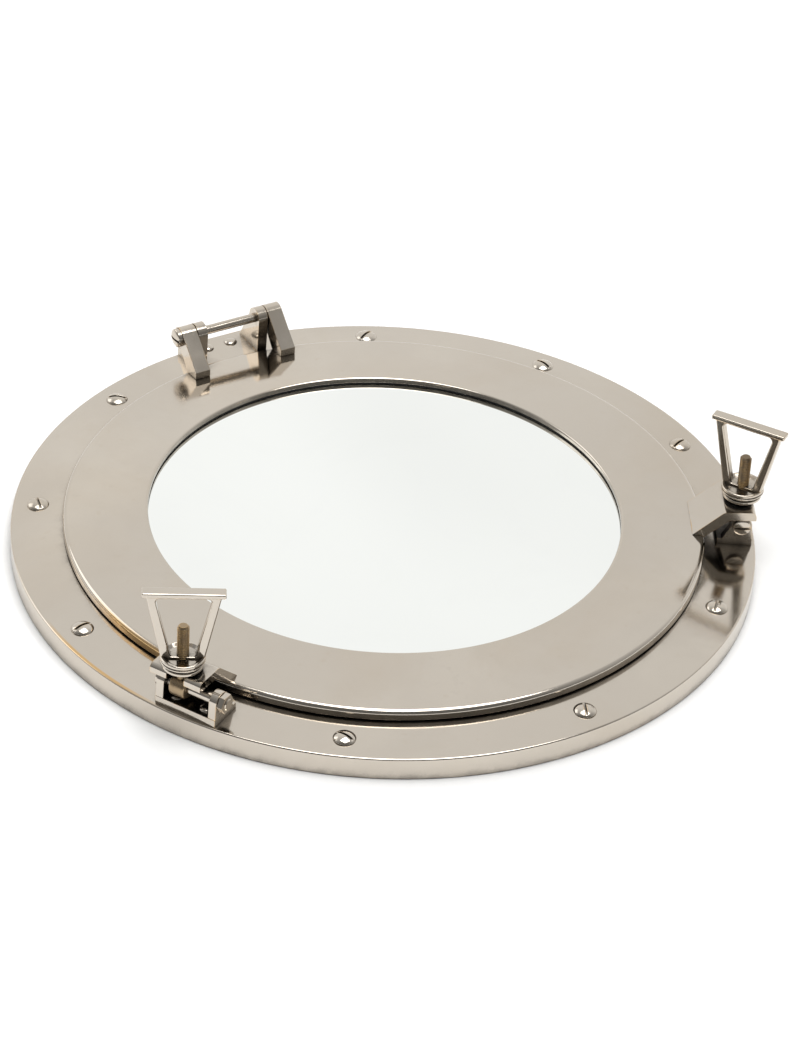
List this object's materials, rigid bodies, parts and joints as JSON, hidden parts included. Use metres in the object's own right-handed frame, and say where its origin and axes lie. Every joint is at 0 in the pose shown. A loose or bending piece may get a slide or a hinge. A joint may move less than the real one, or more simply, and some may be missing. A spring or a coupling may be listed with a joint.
{
  "type": "opening porthole",
  "caption": "Round opening porthole: nickel-plated flanged base ring and a hinged, mirror-glazed sash held shut by swing bolts with loop wing nuts.",
  "frame": {"origin": "centre of the plane that the rim rests on", "axes": "+Z out of the wall towards the viewer, +Y from the centre towards the hinge"},
  "size_m": [0.381, 0.381, 0.0794],
  "materials": {
    "nickel_plate": "polished warm nickel plate, softly hazed",
    "aged_brass": "dull dark brass, plating worn off",
    "mirror": "silvered flat glass",
    "seal_rubber": "matt black",
    "steel": "zinc plated"
  },
  "bodies": {
    "frame": {"base_ring": "nickel_plate", "flange_screws": "nickel_plate", "hinge_bracket": "nickel_plate", "hinge_rivets": "nickel_plate", "dog_rivets": "nickel_plate", "dog_bracket_left": "nickel_plate", "dog_pivot_left": "nickel_plate", "dog_pivot_nut_left": "nickel_plate", "dog_bracket_right": "nickel_plate", "dog_pivot_right": "nickel_plate", "dog_pivot_nut_right": "nickel_plate"},
    "sash": {"sash_ring": "nickel_plate", "sash_seal": "seal_rubber", "glass_bedding": "seal_rubber", "mirror_glass": "mirror", "retainer_screws": "steel", "glass_retainer": "nickel_plate", "hinge_arm_left": "nickel_plate", "hinge_arm_right": "nickel_plate", "hinge_pin": "nickel_plate", "lug_screws": "steel", "sash_fork_left": "nickel_plate", "sash_fork_right": "nickel_plate"},
    "swing_bolt_left": {"swing_bolt_left": "aged_brass"},
    "washer_left": {"dog_washer_left": "nickel_plate"},
    "wing_nut_left": {"wing_nut_left": "nickel_plate"},
    "swing_bolt_right": {"swing_bolt_right": "aged_brass"},
    "washer_right": {"dog_washer_right": "nickel_plate"},
    "wing_nut_right": {"wing_nut_right": "nickel_plate"}
  },
  "joints": [
    {"name": "sash_hinge", "type": "hinge", "parent": "frame", "child": "sash", "pos_m": [0, 0.1705, 0.036], "axis": [-1, 0, 0], "range_deg": [0, 180]},
    {"name": "dog_swing_left", "type": "hinge", "parent": "frame", "child": "swing_bolt_left", "pos_m": [-0.1607, -0.08544, 0.0238], "axis": [0.4695, -0.8829, 0], "range_deg": [0, 90]},
    {"name": "nut_travel_left", "type": "slide", "parent": "swing_bolt_left", "child": "washer_left", "axis": [0, 0, 1], "range_m": [0, 0.01]},
    {"name": "nut_turn_left", "type": "hinge", "parent": "washer_left", "child": "wing_nut_left", "pos_m": [-0.1607, -0.08544, 0.043], "axis": [0, 0, 1], "range_deg": [0, 3580]},
    {"name": "dog_swing_right", "type": "hinge", "parent": "frame", "child": "swing_bolt_right", "pos_m": [0.1607, -0.08544, 0.0238], "axis": [0.4695, 0.8829, 0], "range_deg": [0, 90]},
    {"name": "nut_travel_right", "type": "slide", "parent": "swing_bolt_right", "child": "washer_right", "axis": [0, 0, 1], "range_m": [0, 0.01]},
    {"name": "nut_turn_right", "type": "hinge", "parent": "washer_right", "child": "wing_nut_right", "pos_m": [0.1607, -0.08544, 0.043], "axis": [0, 0, 1], "range_deg": [0, 3580]}
  ],
  "couplings": [
    {"joint": "nut_travel_left", "follows": "nut_turn_left", "m_per_rad": 0.00015915},
    {"joint": "nut_travel_right", "follows": "nut_turn_right", "m_per_rad": 0.00015915}
  ]
}
